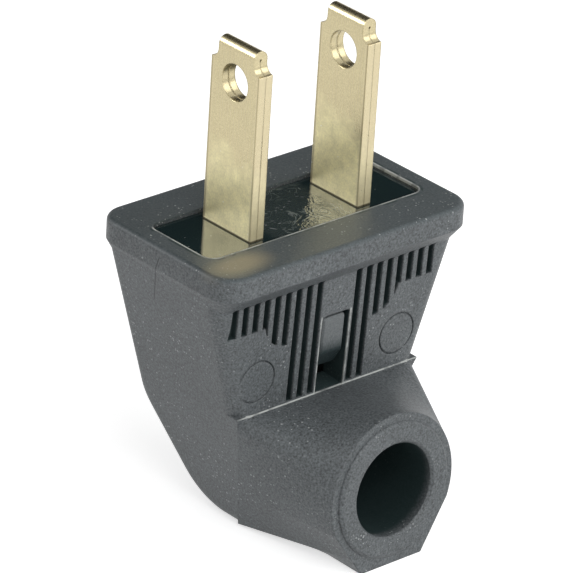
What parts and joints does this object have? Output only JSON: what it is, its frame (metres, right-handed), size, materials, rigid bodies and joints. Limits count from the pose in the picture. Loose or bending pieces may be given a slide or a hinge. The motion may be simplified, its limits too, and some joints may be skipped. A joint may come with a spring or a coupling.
{
  "type": "electrical plug",
  "caption": "Right-angle electrical plug with flat folded blades, a moulded rubber cover and a round cord outlet at its foot.",
  "frame": {"origin": "the middle of the core's face, halfway between the blades, where the blades leave it", "axes": "+Z along the blades towards their tips, +X from the left blade to the right one, -Y towards the cord outlet"},
  "size_m": [0.0294, 0.0257, 0.0462],
  "materials": {
    "cover_rubber": "matte dark grey with fine light specks",
    "core_plastic": "glossy black, moulded",
    "blade_brass": "pale drawn brass with fine pits",
    "screw_steel": "bright plated"
  },
  "bodies": {
    "root": {"rubber_cover": "cover_rubber", "core": "core_plastic", "blade_left": "blade_brass", "blade_right": "blade_brass", "terminal_screw_left": "screw_steel", "terminal_screw_right": "screw_steel"}
  },
  "joints": []
}
